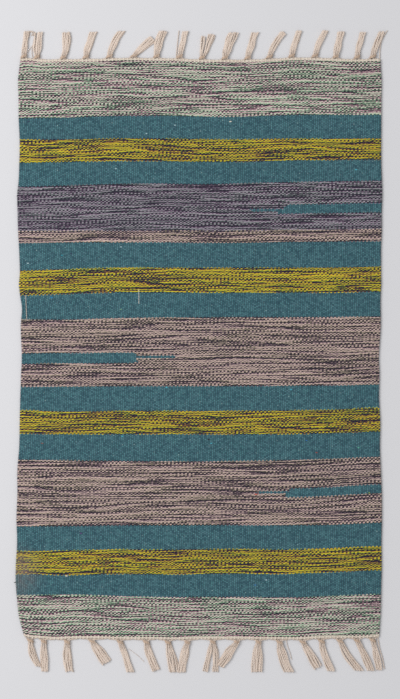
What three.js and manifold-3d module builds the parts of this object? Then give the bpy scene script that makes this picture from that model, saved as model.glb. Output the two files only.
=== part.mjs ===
// Kilim rug lying flat: a woven field of weft stripes, with a cream end strip and knotted tassels
// at each end. Millimetres, +Z up, +Y along the length, origin under the middle of the whole rug.
import * as THREE from 'three';
import { mergeVertices } from 'three/addons/utils/BufferGeometryUtils.js';
import Module from 'manifold-3d';

const wasm = await Module();
wasm.setup();

// Driving sizes of the cloth
const HALF_WIDTH = 300;
const HALF_LENGTH = 475;
const FIELD_THICK = 4;
const EDGE_ROUND = 1;
const OUTLINE_STEP = 16;

// Driving sizes of the end strips and tassels
const SEAM_GAP = 0.4;
const STRIP_DEPTH = 5.4;
const STRIP_THICK = 3;
const STRIP_INSET = 1;
const KNOT = { across: 5.6, along: 3.6, high: 6, sides: 8, bite: 1.2 };
const KNOT_OUTLINE = [[0, 0], [1, 0], [0.85, 0.75], [0, 1]];
const STRAND = { gap: 0.35, rootHigh: 4.6, tipHigh: 2.4, uneven: 1.6, highUneven: 0.1, sideFall: 0.22 };
const ROOT_SHARE = 0.8;
const TURNED_BY = 0.5;
const SEEDS = { top: 11, bottom: 12 };
const MERGE_WITHIN = 1e-4;
const STEPS = { straight: 1, leaning: 2, bowed: 3, stray: 4 };
const BOW_LIMIT = 1.5;
const STRAY_START = -1;
const STRAY_HIGH = 2.5;

// How far each selvedge stands outside the straight half width, at stations along the length
const SELVEDGES = [
  { at: -475, left: -9.5, right: -3.2 },
  { at: -458, left: -4.8, right: -2.3 },
  { at: -439, left: -0.2, right: -1.0 },
  { at: -419, left: 1.8, right: -0.3 },
  { at: -389, left: 4.3, right: 0.2 },
  { at: -359, left: 4.5, right: 1.0 },
  { at: -320, left: 2.3, right: 0.5 },
  { at: -280, left: 3.3, right: 1.2 },
  { at: -240, left: 1.8, right: 1.0 },
  { at: -200, left: 1.8, right: -0.5 },
  { at: -161, left: -1.3, right: -2.1 },
  { at: -121, left: -2.0, right: -1.3 },
  { at: -81, left: -3.0, right: -3.5 },
  { at: -42, left: -4.3, right: -2.8 },
  { at: -12, left: -5.5, right: -3.8 },
  { at: 38, left: -3.8, right: -0.7 },
  { at: 67, left: -5.8, right: -1.0 },
  { at: 87, left: -3.0, right: -1.0 },
  { at: 107, left: -0.8, right: 0.0 },
  { at: 127, left: -2.3, right: -0.2 },
  { at: 166, left: -1.0, right: -0.3 },
  { at: 196, left: 0.7, right: 0.9 },
  { at: 226, left: 1.5, right: 0.8 },
  { at: 256, left: 2.1, right: 1.8 },
  { at: 276, left: 0.0, right: 1.3 },
  { at: 305, left: -1.3, right: 0.2 },
  { at: 345, left: -2.0, right: 0.0 },
  { at: 385, left: -0.2, right: 0.2 },
  { at: 414, left: -0.2, right: 0.3 },
  { at: 444, left: 0.7, right: 0.7 },
  { at: 464, left: -1.3, right: -0.5 },
  { at: 476, left: -2.8, right: -1.0 },
];

// How far each end of the field stands outside the straight half length, at stations across
const ENDS = [
  { at: -298, top: 0.6, bottom: -5.5 },
  { at: -291, top: 1.2, bottom: -4.0 },
  { at: -280, top: 1.5, bottom: -1.5 },
  { at: -263, top: -0.6, bottom: -0.3 },
  { at: -239, top: -0.4, bottom: 1.4 },
  { at: -205, top: -0.1, bottom: 0.0 },
  { at: -164, top: 0.7, bottom: 0.0 },
  { at: -123, top: 2.0, bottom: 1.1 },
  { at: -81, top: 1.6, bottom: 1.0 },
  { at: -40, top: 1.1, bottom: 1.8 },
  { at: 1, top: -0.7, bottom: 0.8 },
  { at: 42, top: -1.0, bottom: 0.9 },
  { at: 84, top: -0.9, bottom: 1.0 },
  { at: 125, top: 1.0, bottom: 1.2 },
  { at: 166, top: 2.6, bottom: 1.3 },
  { at: 208, top: 1.6, bottom: -0.5 },
  { at: 241, top: 0.2, bottom: -0.8 },
  { at: 266, top: -0.2, bottom: -1.1 },
  { at: 289, top: 0.7, bottom: -2.3 },
  { at: 299, top: 0.9, bottom: -3.3 },
];

// Tassels from left to right: root and tip are places across, reach is measured out from the end
// strip, bow is the sideways bulge half way, fan is the half width at the tip, split is the extra
// opening between the legs of a parted tassel, lag is how far the left leg falls short of the right
// one, and cut says whether the tip is level with the rug's end or square to the tassel.
const TOP_TASSELS = [
  { root: -291, tip: -286.5, reach: 44, bow: 0, fan: 3.6, split: 0, lag: 0, strands: 8, cut: 'level' },
  { root: -269.5, tip: -265.5, reach: 44, bow: -1, fan: 6.1, split: 0, lag: 0, strands: 8, cut: 'level' },
  { root: -226, tip: -221.4, reach: 44, bow: 3, fan: 5.1, split: 0, lag: 0, strands: 8, cut: 'level' },
  { root: -188.5, tip: -175, reach: 44, bow: -1.4, fan: 4.5, split: 0, lag: 0, strands: 8, cut: 'level' },
  { root: -149.5, tip: -130, reach: 44, bow: -2.4, fan: 4.1, split: 0, lag: 0, strands: 8, cut: 'level' },
  { root: -109, tip: -78, reach: 31, bow: -1, fan: 5.4, split: 0, lag: 0, strands: 8, cut: 'square' },
  { root: -71.7, tip: -61.6, reach: 44, bow: -2, fan: 5.4, split: 0, lag: 0, strands: 8, cut: 'level' },
  { root: -33.5, tip: -24, reach: 44, bow: 0, fan: 3.6, split: 0, lag: 0, strands: 8, cut: 'level' },
  { root: 4, tip: 14.5, reach: 42, bow: 0, fan: 6.0, split: 2.8, lag: 7, strands: 8, cut: 'square' },
  { root: 41.6, tip: 55.8, reach: 44, bow: -1, fan: 5.7, split: 0, lag: 0, strands: 8, cut: 'level' },
  { root: 79.2, tip: 91.2, reach: 44, bow: 0, fan: 3.8, split: 0, lag: 0, strands: 8, cut: 'level' },
  { root: 115, tip: 138.6, reach: 43, bow: -2, fan: 3.7, split: 0, lag: 0, strands: 8, cut: 'square' },
  { root: 152, tip: 165.2, reach: 44, bow: -1, fan: 3.8, split: 0, lag: 0, strands: 8, cut: 'level' },
  { root: 190.3, tip: 207.5, reach: 44, bow: -1.2, fan: 3.9, split: 0, lag: 0, strands: 8, cut: 'level' },
  { root: 224.8, tip: 234, reach: 44, bow: 0, fan: 4.1, split: 0, lag: 0, strands: 8, cut: 'level' },
  { root: 260, tip: 270.7, reach: 44, bow: -1, fan: 3.6, split: 0, lag: 0, strands: 8, cut: 'level' },
  { root: 286, tip: 300.5, reach: 44, bow: -1, fan: 3.9, split: 0, lag: 0, strands: 6, cut: 'level' },
];
const BOTTOM_TASSELS = [
  { root: -280.2, tip: -265.8, reach: 46, bow: -3.5, fan: 4.1, split: 0.8, lag: 0, strands: 6, cut: 'level' },
  { root: -258, tip: -255.5, reach: 52, bow: -1, fan: 5.6, split: 0, lag: 0, strands: 8, cut: 'level' },
  { root: -219.5, tip: -215.5, reach: 52, bow: -1.6, fan: 5.9, split: 0, lag: 0, strands: 8, cut: 'level' },
  { root: -178, tip: -154, reach: 38, bow: -0.6, fan: 6.8, split: 0, lag: 0, strands: 8, cut: 'square' },
  { root: -131.8, tip: -115, reach: 52, bow: 0.6, fan: 4.1, split: 0, lag: 0, strands: 8, cut: 'level' },
  { root: -88.5, tip: -72, reach: 49, bow: -2, fan: 5.9, split: 0, lag: 0, strands: 8, cut: 'square' },
  { root: -52.5, tip: -42.5, reach: 52, bow: 0, fan: 6.6, split: 0, lag: 0, strands: 8, cut: 'level' },
  { root: -20.5, tip: -30.5, reach: 52, bow: -1, fan: 5.4, split: 0, lag: 0, strands: 8, cut: 'level' },
  { root: 21.5, tip: 17.5, reach: 52, bow: 1, fan: 6.8, split: 4.0, lag: 0, strands: 8, cut: 'level' },
  { root: 61, tip: 33.8, reach: 43, bow: 0, fan: 6.4, split: 0, lag: 0, strands: 8, cut: 'square' },
  { root: 97, tip: 94.5, reach: 52, bow: -1, fan: 6.6, split: 0, lag: 0, strands: 8, cut: 'level' },
  { root: 132, tip: 148, reach: 52, bow: -2.5, fan: 6.0, split: 0, lag: 0, strands: 8, cut: 'level' },
  { root: 170.5, tip: 195.5, reach: 45, bow: 0, fan: 6.0, split: 0, lag: 0, strands: 8, cut: 'square' },
  { root: 201.3, tip: 217, reach: 52, bow: -2, fan: 4.7, split: 0, lag: 0, strands: 8, cut: 'level' },
  { root: 231.8, tip: 263, reach: 52, bow: -2, fan: 5.4, split: 0, lag: 0, strands: 8, cut: 'level' },
  { root: 260.3, tip: 283, reach: 52, bow: 1, fan: 4.5, split: 0, lag: 0, strands: 7, cut: 'level' },
  { root: 286, tip: 297, reach: 52, bow: 1, fan: 4.1, split: 0, lag: 0, strands: 6, cut: 'level' },
];

// Single yarns that left their tassel; they begin just inside the end strip
const TOP_STRAYS = [
  { root: -276.5, tip: -273.5, reach: 36, bow: -3, width: 1.3 },
  { root: -39.5, tip: -34.5, reach: 44, bow: 0, width: 1.6 },
  { root: 297.5, tip: 310, reach: 44, bow: -3, width: 1.8 },
];
const BOTTOM_STRAYS = [
  { root: 143, tip: 152, reach: 30, bow: 1, width: 1.1 },
  { root: 294.5, tip: 305.5, reach: 51, bow: 1, width: 1.8 },
];

const cloth = new THREE.MeshStandardMaterial({ color: 0x5f6f6d, roughness: 0.92, metalness: 0 });
const cotton = new THREE.MeshStandardMaterial({ color: 0xd0bfae, roughness: 0.9, metalness: 0 });

// A smooth reading between the rows of a table, sorted by their column at
function reading(rows, column, place) {
  const last = rows.length - 1;
  const held = THREE.MathUtils.clamp(place, rows[0].at, rows[last].at);
  let i = 0;
  while (i < last - 1 && rows[i + 1].at < held) i += 1;
  const slope = (k) => {
    const before = rows[Math.max(k - 1, 0)];
    const after = rows[Math.min(k + 1, last)];
    return (after[column] - before[column]) / (after.at - before.at);
  };
  const span = rows[i + 1].at - rows[i].at;
  const t = (held - rows[i].at) / span;
  const rise = rows[i + 1][column] - rows[i][column];
  const ease = t * t * (3 - 2 * t);
  const lean = t * (1 - t) * ((1 - t) * slope(i) - t * slope(i + 1)) * span;
  return rows[i][column] + rise * ease + lean;
}

const selvedge = (side, y) => (side === 'left' ? -1 : 1) * (HALF_WIDTH + reading(SELVEDGES, side, y));
const endLine = (end, x) => (end === 'top' ? 1 : -1) * (HALF_LENGTH + reading(ENDS, end, x));

// A sideways bulge: none at the two ends, 1 half way
const bulge = (t) => 4 * t * (1 - t);

// Evenly spaced places from first to last, both kept
function places(first, last, step) {
  const count = Math.max(1, Math.round(Math.abs(last - first) / step));
  return Array.from({ length: count + 1 }, (_, i) => THREE.MathUtils.lerp(first, last, i / count));
}

// The four corners of the field, worked out where a selvedge meets an end
function corner(end, side) {
  const y = (end === 'top' ? 1 : -1) * HALF_LENGTH;
  const x = selvedge(side, y);
  return new THREE.Vector2(x, endLine(end, x));
}

// The woven field: one flat slab with the outline as uneven as the weaver left it
function wovenField() {
  const bottomLeft = corner('bottom', 'left');
  const bottomRight = corner('bottom', 'right');
  const topRight = corner('top', 'right');
  const topLeft = corner('top', 'left');
  const alongEnd = (end, from, to) => places(from.x, to.x, OUTLINE_STEP)
    .map((x) => new THREE.Vector2(x, endLine(end, x)));
  const alongSide = (side, from, to) => places(from.y, to.y, OUTLINE_STEP)
    .map((y) => new THREE.Vector2(selvedge(side, y), y));
  const outline = [
    ...alongEnd('bottom', bottomLeft, bottomRight).slice(0, -1),
    ...alongSide('right', bottomRight, topRight).slice(0, -1),
    ...alongEnd('top', topRight, topLeft).slice(0, -1),
    ...alongSide('left', topLeft, bottomLeft).slice(0, -1),
  ];
  const slab = new THREE.ExtrudeGeometry(new THREE.Shape(outline), {
    depth: FIELD_THICK - 2 * EDGE_ROUND,
    bevelThickness: EDGE_ROUND,
    bevelSize: EDGE_ROUND,
    bevelOffset: -EDGE_ROUND,
    bevelSegments: 1,
  });
  return slab.translate(0, 0, EDGE_ROUND);
}

// The cream strip past one end of the field, parted from it by the seam gap
function endStrip(end) {
  const out = end === 'top' ? 1 : -1;
  const from = corner(end, 'left').x + STRIP_INSET;
  const to = corner(end, 'right').x - STRIP_INSET;
  const line = (offset) => places(from, to, OUTLINE_STEP)
    .map((x) => new THREE.Vector2(x, endLine(end, x) + out * offset));
  const outline = [...line(SEAM_GAP), ...line(SEAM_GAP + STRIP_DEPTH).reverse()];
  return new THREE.ExtrudeGeometry(new THREE.Shape(outline), { depth: STRIP_THICK, bevelEnabled: false });
}

// One four-sided yarn lying on the floor along a route, lower towards its tip
function lyingYarn(route, rootWidth, tipWidth, high) {
  const left = [];
  const right = [];
  route.forEach((point, i) => {
    const before = route[Math.max(i - 1, 0)];
    const after = route[Math.min(i + 1, route.length - 1)];
    const along = after.clone().sub(before).normalize();
    const across = new THREE.Vector2(along.y, -along.x);
    const half = THREE.MathUtils.lerp(rootWidth, tipWidth, i / (route.length - 1)) / 2;
    left.push(point.clone().addScaledVector(across, -half));
    right.push(point.clone().addScaledVector(across, half));
  });
  const outline = new THREE.Shape([...right, ...left.reverse()]);
  const yarn = new THREE.ExtrudeGeometry(outline, { depth: 1, bevelEnabled: false });
  const start = route[0];
  const reach = start.distanceTo(route[route.length - 1]);
  const spots = yarn.attributes.position;
  for (let i = 0; i < spots.count; i += 1) {
    const gone = start.distanceTo(new THREE.Vector2(spots.getX(i), spots.getY(i))) / reach;
    const lower = THREE.MathUtils.lerp(high, high * STRAND.tipHigh / STRAND.rootHigh, Math.min(gone, 1));
    spots.setZ(i, spots.getZ(i) * lower);
  }
  return yarn;
}

// The knot at a tassel's root: a low dome, flat underneath, biting into the end strip
function knot(place) {
  const profile = KNOT_OUTLINE.map(([r, z]) => new THREE.Vector2(r, z));
  const dome = new THREE.LatheGeometry(profile, KNOT.sides);
  dome.rotateX(Math.PI / 2);
  dome.scale(KNOT.across, KNOT.along, KNOT.high);
  return dome.translate(place.x, place.y, 0);
}

// A tassel: its knot and its yarns, side by side and a little apart, leaning, bowed or parted
function tassel(end, row) {
  const out = end === 'top' ? 1 : -1;
  const base = endLine(end, row.root) + out * (SEAM_GAP + STRIP_DEPTH);
  const head = new THREE.Vector2(row.root, base + out * (KNOT.along - KNOT.bite));
  const tip = new THREE.Vector2(row.tip, base + out * row.reach);
  const along = tip.clone().sub(head).normalize();
  const acrossRoot = new THREE.Vector2(1, 0);
  const squareTip = new THREE.Vector2(along.y, -along.x).multiplyScalar(out);
  const levelTip = new THREE.Vector2(1 / Math.abs(along.y), 0);
  const acrossTip = row.cut === 'square' ? squareTip : levelTip;
  const plainSteps = row.cut === 'square' ? STEPS.leaning : STEPS.straight;
  const steps = Math.abs(row.bow) > BOW_LIMIT ? STEPS.bowed : plainSteps;
  const rootHalf = KNOT.across * ROOT_SHARE;
  const pitch = (half) => 2 * half / (row.strands - 1);
  const pieces = [knot(head)];
  for (let i = 0; i < row.strands; i += 1) {
    const seat = 2 * i / (row.strands - 1) - 1;
    const luck = THREE.MathUtils.seededRandom();
    const longer = (luck - 0.5) * STRAND.uneven - (seat < 0 ? row.lag : 0);
    const route = Array.from({ length: steps + 1 }, (_, k) => {
      const t = k / steps;
      const across = acrossRoot.clone().lerp(acrossTip, Math.min(t / TURNED_BY, 1));
      const half = THREE.MathUtils.lerp(rootHalf, row.fan, t);
      const side = seat * half + Math.sign(seat) * row.split * t + row.bow * bulge(t);
      return head.clone().lerp(tip, t).addScaledVector(across, side).addScaledVector(along, longer * t);
    });
    const taller = THREE.MathUtils.lerp(1 - STRAND.highUneven, 1 + STRAND.highUneven, luck);
    const high = STRAND.rootHigh * (1 - STRAND.sideFall * seat * seat) * taller;
    pieces.push(lyingYarn(route, pitch(rootHalf) - STRAND.gap, pitch(row.fan) - STRAND.gap, high));
  }
  return pieces;
}

// A single yarn lying apart from the tassels, from inside the end strip to its own tip
function strayYarn(end, row) {
  const out = end === 'top' ? 1 : -1;
  const base = endLine(end, row.root) + out * (SEAM_GAP + STRIP_DEPTH);
  const head = new THREE.Vector2(row.root, base + out * STRAY_START);
  const tip = new THREE.Vector2(row.tip, base + out * row.reach);
  const route = Array.from({ length: STEPS.stray + 1 }, (_, k) => {
    const t = k / STEPS.stray;
    return head.clone().lerp(tip, t).add(new THREE.Vector2(row.bow * bulge(t), 0));
  });
  return lyingYarn(route, row.width, row.width, STRAY_HIGH);
}

// A closed geometry as a solid, with its shared corners merged
function asSolid(geometry) {
  const bare = geometry.clone();
  bare.deleteAttribute('normal');
  bare.deleteAttribute('uv');
  const merged = mergeVertices(bare, MERGE_WITHIN);
  return new wasm.Manifold(new wasm.Mesh({
    numProp: 3,
    vertProperties: new Float32Array(merged.attributes.position.array),
    triVerts: new Uint32Array(merged.index.array),
  }));
}

// Several closed geometries fused into one
function fused(geometries) {
  const whole = geometries.map(asSolid).reduce((sum, solid) => sum.add(solid));
  const { vertProperties, triVerts } = whole.getMesh();
  const geometry = new THREE.BufferGeometry();
  geometry.setAttribute('position', new THREE.BufferAttribute(vertProperties, 3));
  geometry.setIndex(new THREE.BufferAttribute(triVerts, 1));
  return geometry;
}

// One end's strip, tassels and stray yarns, its yarns uneven in the same way on every run
function fringe(end, tassels, strays) {
  THREE.MathUtils.seededRandom(SEEDS[end]);
  return fused([
    endStrip(end),
    ...tassels.flatMap((row) => tassel(end, row)),
    ...strays.map((row) => strayYarn(end, row)),
  ]);
}

function named(name, geometry, material) {
  const mesh = new THREE.Mesh(geometry, material);
  mesh.name = name;
  return mesh;
}

const rug = new THREE.Group();
rug.add(named('woven_field', wovenField(), cloth));
rug.add(named('fringe_top', fringe('top', TOP_TASSELS, TOP_STRAYS), cotton));
rug.add(named('fringe_bottom', fringe('bottom', BOTTOM_TASSELS, BOTTOM_STRAYS), cotton));

// The origin goes under the middle of the whole outline
const middle = new THREE.Box3().setFromObject(rug).getCenter(new THREE.Vector3());
rug.children.forEach((mesh) => mesh.position.set(-middle.x, -middle.y, 0));

export default rug;
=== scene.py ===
"""Striped kilim rug lying flat, dressed for its photograph. Metres, Z up, Y along the rug."""
import math

import bpy
import numpy as np
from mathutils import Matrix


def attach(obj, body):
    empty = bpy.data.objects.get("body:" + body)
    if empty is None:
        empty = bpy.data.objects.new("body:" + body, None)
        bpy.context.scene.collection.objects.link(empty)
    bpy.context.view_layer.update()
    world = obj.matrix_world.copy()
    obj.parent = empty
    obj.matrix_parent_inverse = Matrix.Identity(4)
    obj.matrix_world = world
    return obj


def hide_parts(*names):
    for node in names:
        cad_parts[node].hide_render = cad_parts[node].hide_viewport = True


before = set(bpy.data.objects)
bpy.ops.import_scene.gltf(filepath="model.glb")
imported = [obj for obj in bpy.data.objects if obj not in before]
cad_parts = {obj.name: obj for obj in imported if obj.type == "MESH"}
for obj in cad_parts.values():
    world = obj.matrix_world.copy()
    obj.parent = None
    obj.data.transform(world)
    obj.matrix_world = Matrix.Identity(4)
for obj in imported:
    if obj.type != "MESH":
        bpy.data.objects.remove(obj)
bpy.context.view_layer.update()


# Woven field: one weft-faced cotton cloth. The warps, 3.1 mm apart, are hidden by beaten wefts. It is
# made in nine bands so that each mesh stays light, and neighbouring bands meet bead against bead.
# The weaver's tension leaves the selvedges, the ends and the stripes' lines slightly uneven.
MM = 0.001
HALF_WIDTH = 300
HALF_LENGTH = 475
WARPS = 193
# The part's origin is under the middle of the whole outline, tassels included
SHIFT_X = -3.070
SHIFT_Y = 3.566

# How far each selvedge stands outside the straight half width, at places along the length
SELVEDGE_AT = [
    -475, -458, -439, -419, -389, -359, -320, -280, -240, -200, -161, -121, -81, -42, -12, 38,
    67, 87, 107, 127, 166, 196, 226, 256, 276, 305, 345, 385, 414, 444, 464, 476,
]
LEFT_SELVEDGE = [
    -9.5, -4.8, -0.2, 1.8, 4.3, 4.5, 2.3, 3.3, 1.8, 1.8, -1.3, -2.0, -3.0, -4.3, -5.5, -3.8,
    -5.8, -3.0, -0.8, -2.3, -1.0, 0.7, 1.5, 2.1, 0.0, -1.3, -2.0, -0.2, -0.2, 0.7, -1.3, -2.8,
]
RIGHT_SELVEDGE = [
    -3.2, -2.3, -1.0, -0.3, 0.2, 1.0, 0.5, 1.2, 1.0, -0.5, -2.1, -1.3, -3.5, -2.8, -3.8, -0.7,
    -1.0, -1.0, 0.0, -0.2, -0.3, 0.9, 0.8, 1.8, 1.3, 0.2, 0.0, 0.2, 0.3, 0.7, -0.5, -1.0,
]

# How far each end stands outside the straight half length, at places across the width
END_AT = [
    -298, -291, -280, -263, -239, -205, -164, -123, -81, -40,
    1, 42, 84, 125, 166, 208, 241, 266, 289, 299,
]
TOP_END = [
    0.6, 1.2, 1.5, -0.6, -0.4, -0.1, 0.7, 2.0, 1.6, 1.1,
    -0.7, -1.0, -0.9, 1.0, 2.6, 1.6, 0.2, -0.2, 0.7, 0.9,
]
BOTTOM_END = [
    -5.5, -4.0, -1.5, -0.3, 1.4, 0.0, 0.0, 1.1, 1.0, 1.8,
    0.8, 0.9, 1.0, 1.2, 1.3, -0.5, -0.8, -1.1, -2.3, -3.3,
]

# The stripes from the top end down: yarn, picks of weft, and where the stripe's lower line runs at
# nine places across, in millimetres from the rug's middle
LINE_AT = [-286, -214, -139, -65, 1, 67, 142, 216, 285]
STRIPES = [
    ("heather", 69, [381.1, 382.4, 385.0, 385.3, 384.1, 383.7, 386.3, 386.7, 386.8]),
    ("teal", 29, [346.3, 346.5, 348.0, 347.9, 346.8, 346.3, 347.8, 347.3, 347.7]),
    ("yellow", 28, [307.5, 308.8, 310.4, 310.3, 309.1, 309.1, 311.2, 312.3, 312.8]),
    ("teal", 28, [267.9, 270.2, 272.6, 273.3, 272.3, 273.5, 275.5, 277.0, 278.1]),
    ("plum", 58, [194.5, 195.4, 195.3, 195.6, 194.7, 194.8, 196.3, 197.0, 198.0]),
    ("mauve", 16, [174.9, 175.8, 175.7, 176.1, 175.3, 175.2, 176.5, 177.0, 177.9]),
    ("teal", 32, [129.6, 131.8, 134.2, 134.4, 134.0, 134.4, 134.1, 134.5, 135.9]),
    ("yellow", 31, [88.5, 91.1, 93.3, 93.1, 92.7, 92.6, 92.9, 92.9, 94.3]),
    ("teal", 31, [48.7, 48.4, 50.6, 51.8, 52.1, 52.7, 52.5, 52.6, 53.4]),
    ("mauve", 86, [-62.9, -62.5, -62.0, -61.6, -61.7, -61.8, -61.1, -60.7, -59.3]),
    ("teal", 31, [-101.6, -103.8, -102.5, -102.5, -102.8, -102.4, -101.7, -100.6, -97.2]),
    ("yellow", 30, [-140.2, -141.2, -141.3, -140.9, -141.1, -141.4, -141.1, -139.7, -137.2]),
    ("teal", 33, [-183.4, -184.5, -185.0, -185.9, -186.2, -185.6, -184.0, -181.9, -178.5]),
    ("mauve", 82, [-293.6, -293.4, -292.0, -292.1, -291.8, -291.5, -291.8, -291.2, -287.9]),
    ("teal", 30, [-334.5, -333.4, -331.7, -332.0, -331.3, -331.0, -331.9, -329.7, -326.7]),
    ("yellow", 31, [-372.4, -374.1, -372.3, -373.0, -372.3, -371.8, -372.2, -369.2, -366.4]),
    ("teal", 28, [-407.3, -406.2, -408.6, -410.7, -410.1, -410.2, -410.9, -408.8, -406.0]),
    ("heather", 51, None),
]
# The cream end strips beyond them: a few picks more at each end
STRIP_PICKS = 3
STRIP_PICK = 1.2


def reading(at, values, places):
    """A smooth line through readings, the same as the part's own outline."""
    at, values = np.array(at, float), np.array(values, float)
    places = np.clip(places, at[0], at[-1])
    last = len(at) - 1
    before = np.maximum(np.arange(last + 1) - 1, 0)
    after = np.minimum(np.arange(last + 1) + 1, last)
    slope = (values[after] - values[before]) / (at[after] - at[before])
    i = np.clip(np.searchsorted(at, places, side="right") - 1, 0, last - 1)
    span = at[i + 1] - at[i]
    t = (places - at[i]) / span
    rise = (values[i + 1] - values[i]) * t * t * (3 - 2 * t)
    return values[i] + rise + t * (1 - t) * ((1 - t) * slope[i] - t * slope[i + 1]) * span


def left_selvedge(y):
    return -HALF_WIDTH - reading(SELVEDGE_AT, LEFT_SELVEDGE, y)


def right_selvedge(y):
    return HALF_WIDTH + reading(SELVEDGE_AT, RIGHT_SELVEDGE, y)


def top_end(x):
    return HALF_LENGTH + reading(END_AT, TOP_END, x)


def bottom_end(x):
    return -HALF_LENGTH - reading(END_AT, BOTTOM_END, x)


def stripe_line(stripe):
    """The line under a stripe, counted from 0 at the top; -1 is the top end itself."""
    if stripe < 0:
        return top_end
    if STRIPES[stripe][2] is None:
        return bottom_end
    return lambda x: reading(LINE_AT, STRIPES[stripe][2], x)


def picks_above(stripe):
    return sum(picks for _, picks, _ in STRIPES[:stripe])


ALL_PICKS = picks_above(len(STRIPES))

# Half the cloth's thickness lies on each side of its middle, up to the gaps between the beads
MIDDLE = 2.05
HALF_THICK = 1.35
# From the last warp to the outside of the weft that turns round it
SELVEDGE_YARN = 1.6
# The picks of a stripe bow a little between its lines, never its first and last, each stripe's bows
# moved along from the last one's. Those with a tongue in them sag towards one selvedge: stripe,
# place where the sag begins, selvedge, and depth
BOWING = 1.2
BOW_LENGTH = 330
BOWS_MOVE_BY = 2.1
SAGS = {4: (100, HALF_WIDTH, 2.6), 9: (-130, -HALF_WIDTH, 1.9)}
# The selvedges curve so little that three rounds find where a pick meets them
ROUNDS = 3


def pick_line(pick, x):
    """How far up the rug a pick lies, at places across it."""
    if pick <= 0:
        return top_end(x) - pick * STRIP_PICK
    if pick >= ALL_PICKS:
        return bottom_end(x) - (pick - ALL_PICKS) * STRIP_PICK
    stripe = next(k for k in range(len(STRIPES)) if picks_above(k + 1) > pick)
    t = (pick - picks_above(stripe)) / STRIPES[stripe][1]
    swell = math.sin(math.pi * t)
    bow = BOWING * swell * np.sin(2 * math.pi * x / BOW_LENGTH + BOWS_MOVE_BY * stripe)
    if stripe in SAGS:
        begins, ends, sag = SAGS[stripe]
        bow = bow - sag * swell * np.clip((x - begins) / (ends - begins), 0, 1)
    return stripe_line(stripe - 1)(x) * (1 - t) + stripe_line(stripe)(x) * t + bow


def warp_places(pick, warps):
    """Where a pick crosses these warps, in millimetres across and along the rug; -1 and WARPS are
    the outsides of its turns round the last warps."""
    warps = np.array(warps, float)
    inner = np.clip(warps, 0, WARPS - 1)
    turning = (warps - inner) * SELVEDGE_YARN
    share = inner / (WARPS - 1)
    x = -HALF_WIDTH + 2 * HALF_WIDTH * share
    for _ in range(ROUNDS):
        y = pick_line(pick, x)
        left = left_selvedge(y) + SELVEDGE_YARN
        right = right_selvedge(y) - SELVEDGE_YARN
        x = left + (right - left) * share + turning
    return x, y


# How the weft shows: each pick passes over every second warp and stands up there as a bead, two
# picks tall, whose middle bulges between the narrower ends of its neighbours. On the front a bead
# is a fan of six faces round its crown; on the back, which lies down, four are enough.
BULGE = 0.59


def front_line(pick):
    """The places on one line of the front, in warps, and which of them are crowns."""
    odd = pick % 2
    beads = np.arange(odd, WARPS, 2)
    places = (beads[:, None] + [-BULGE, 0, BULGE]).ravel()
    crowns = np.tile([0.0, 1.0, 0.0], len(beads))
    if odd:
        places = np.concatenate([[BULGE - 1], places, [WARPS - BULGE]])
        crowns = np.concatenate([[0.0], crowns, [0.0]])
    return places, crowns


def back_line(pick):
    places = np.arange(WARPS)
    return places.astype(float), ((places + pick) % 2).astype(float)


def bead_fans(line, start, under):
    """Faces of the front between a line and the next one: start and under are where the two lines'
    vertices begin. Gives the faces and each one's bead, as its warp and its line."""
    faces, beads = [], []
    for lower in (0, 1):
        odd = (line + lower) % 2
        warp = np.arange(odd, WARPS, 2)
        k = np.arange(len(warp))
        left = (under if lower else start) + 3 * k + odd
        crown, right = left + 1, left + 2
        near = (start if lower else under) + 3 * k + 2 * odd
        far = near + 1
        fan = [(crown, right, far), (crown, far, near), (crown, near, left)]
        if not lower:
            fan = [face[::-1] for face in fan]
        faces += [np.stack(face, -1) for face in fan]
        beads += [np.stack([warp, np.full(len(warp), line + lower)], -1)] * 3
    return np.concatenate(faces), np.concatenate(beads)


def bead_halves(line, start, under):
    """The same for the back, seen from behind."""
    warp = np.arange(WARPS - 1)
    here, below = start + warp, under + warp
    rising = (warp + line) % 2 == 1
    crown_a = np.where(rising, here, here + 1)
    crown_b = np.where(rising, below + 1, below)
    one = np.where(rising, here + 1, below + 1)
    two = np.where(rising, below, here)
    faces = np.concatenate([np.stack([crown_a, one, two], -1), np.stack([crown_b, two, one], -1)])
    beads = np.concatenate([
        np.stack([warp + ~rising, np.full(WARPS - 1, line)], -1),
        np.stack([warp + rising, np.full(WARPS - 1, line + 1)], -1),
    ])
    return faces, beads


def edge_turns(line, start, under):
    """Faces of both selvedges between two lines; start and under hold where the two lines' edge,
    front and back vertices begin."""
    pairs = []
    for edge, front, back in (start, under):
        pairs.append(((edge, front, back), (edge + 1, back - 1, back + WARPS - 1)))
    (left, right), (lower_left, lower_right) = pairs
    (a, f, b), (c, g, d) = left, lower_left
    (p, q, r), (s, t, u) = right, lower_right
    faces = [(a, c, g), (a, g, f), (a, b, d), (a, d, c), (q, t, s), (q, s, p), (r, s, u), (r, p, s)]
    beads = [(0, line + line % 2)] * 4 + [(WARPS - 1, line + line % 2)] * 4
    return np.array(faces), np.array(beads)


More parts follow.
